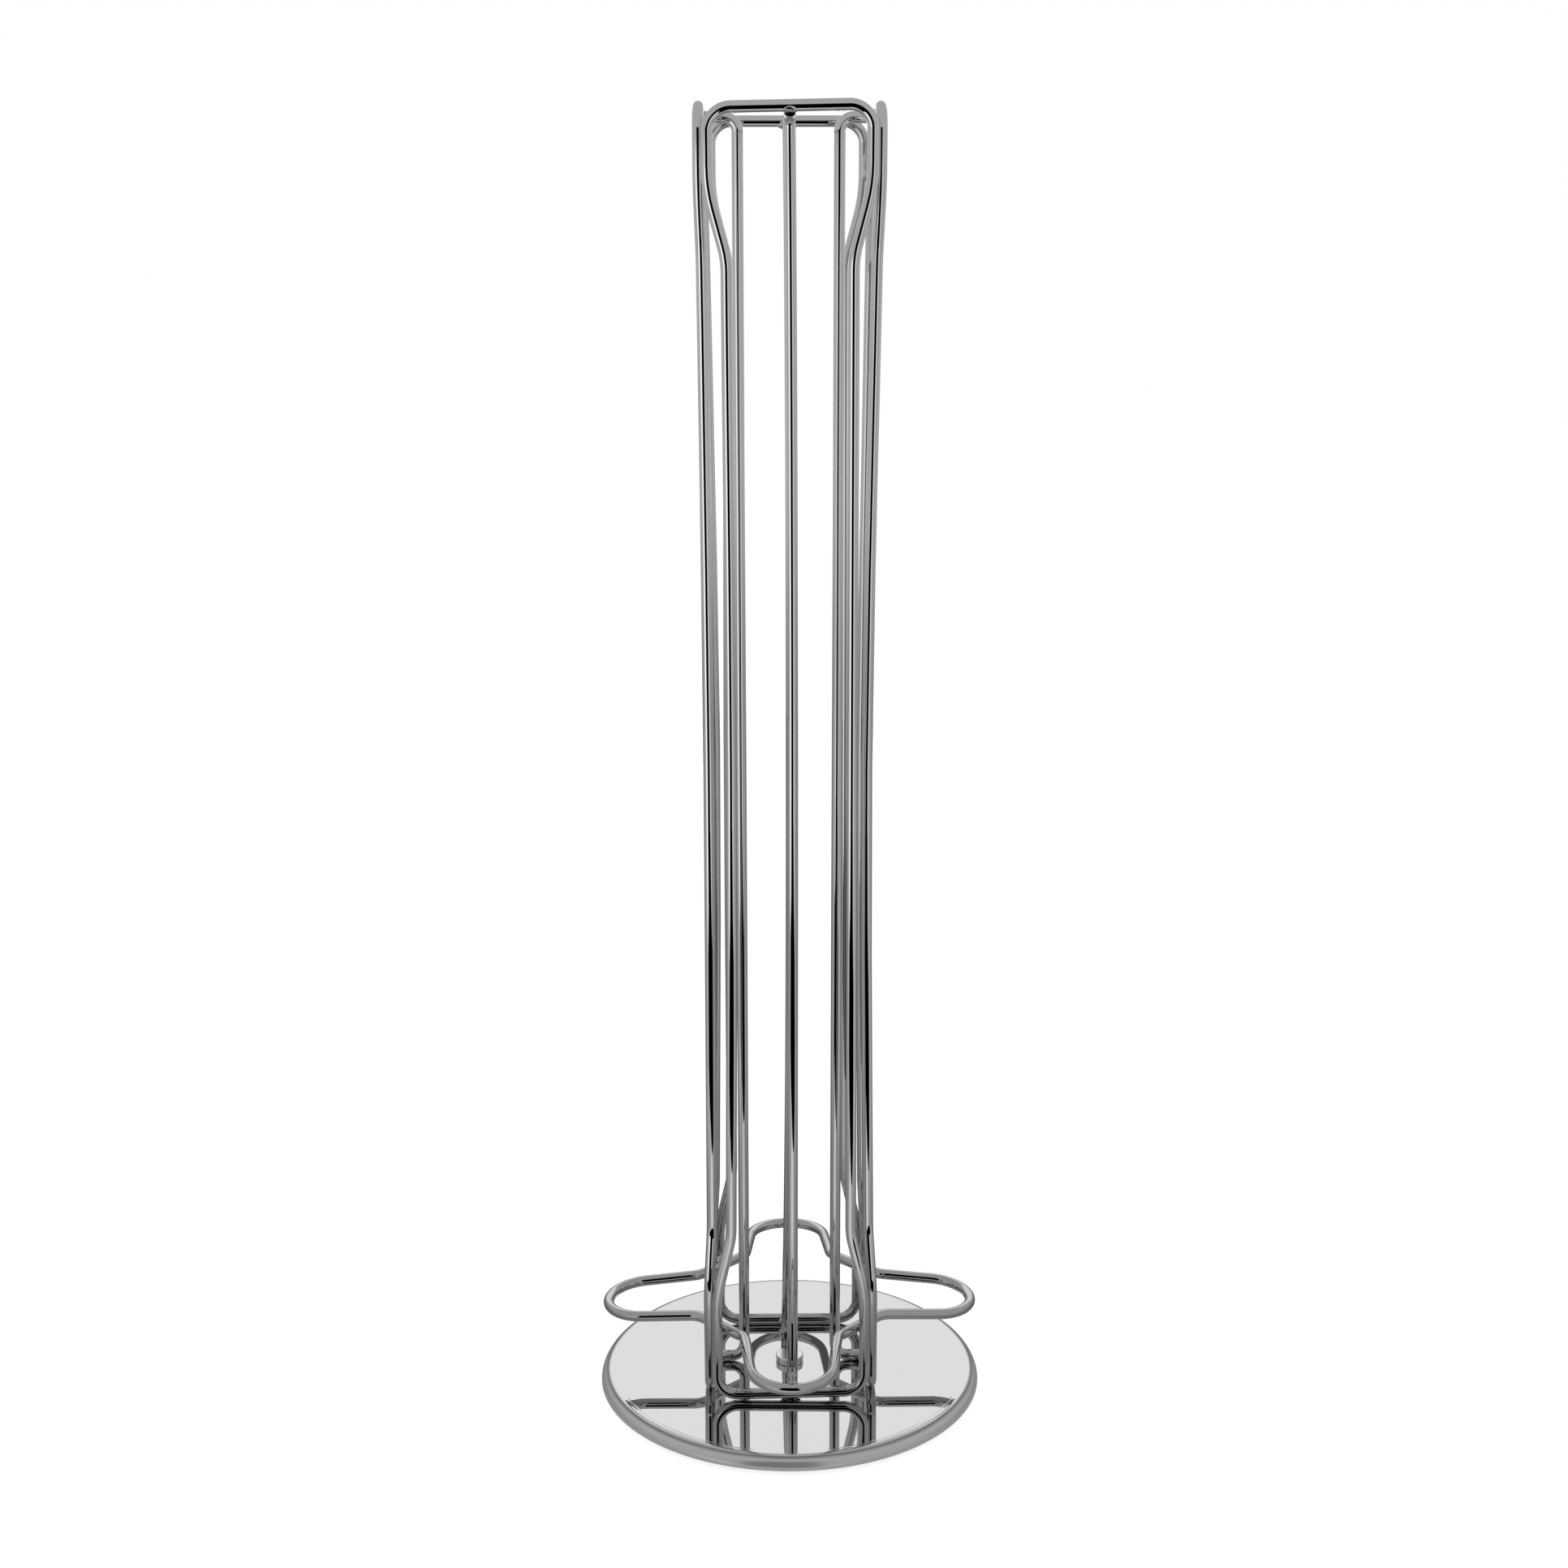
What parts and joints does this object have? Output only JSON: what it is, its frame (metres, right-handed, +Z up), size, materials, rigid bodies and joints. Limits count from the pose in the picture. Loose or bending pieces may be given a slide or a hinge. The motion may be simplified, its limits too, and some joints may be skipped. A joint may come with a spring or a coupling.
{
  "type": "revolving coffee capsule tower",
  "caption": "Chromed wire tower on a round turntable: its chutes hold coffee capsules by their rims, over a lobed catch ring.",
  "frame": {"origin": "on the table, under the middle of the turntable", "axes": "+Z up along the turning axis; -Y towards the front chute, +X towards the right chute"},
  "size_m": [0.1206, 0.1206, 0.3907],
  "materials": {
    "wire": "bright chrome plate on steel wire",
    "weld": "chromed weld beads, slightly rough",
    "cover": "mirror-bright chrome plate on a steel pressing",
    "rivet": "bright plated steel",
    "foot_steel": "dull zinc-plated steel",
    "glide": "smooth natural acetal",
    "grip": "matt black rubber"
  },
  "bodies": {
    "foot": {"foot_plate": "foot_steel", "grip_ring": "grip", "glide_disc": "glide", "rivet_washer": "foot_steel", "pivot_rivet": "rivet"},
    "turntable": {"turntable_cover": "cover", "chute_frame_front": "wire", "chute_frame_right": "wire", "chute_frame_back": "wire", "chute_frame_left": "wire", "guide_rod_front": "wire", "guide_rod_right": "wire", "guide_rod_back": "wire", "guide_rod_left": "wire", "catch_ring": "wire", "top_welds": "weld", "foot_welds": "weld", "corner_welds": "weld", "ring_welds": "weld"}
  },
  "joints": [
    {"name": "turntable_spin", "type": "hinge", "parent": "foot", "child": "turntable", "pos_m": [0, 0, 0], "axis": [0, 0, 1], "continuous": true}
  ]
}
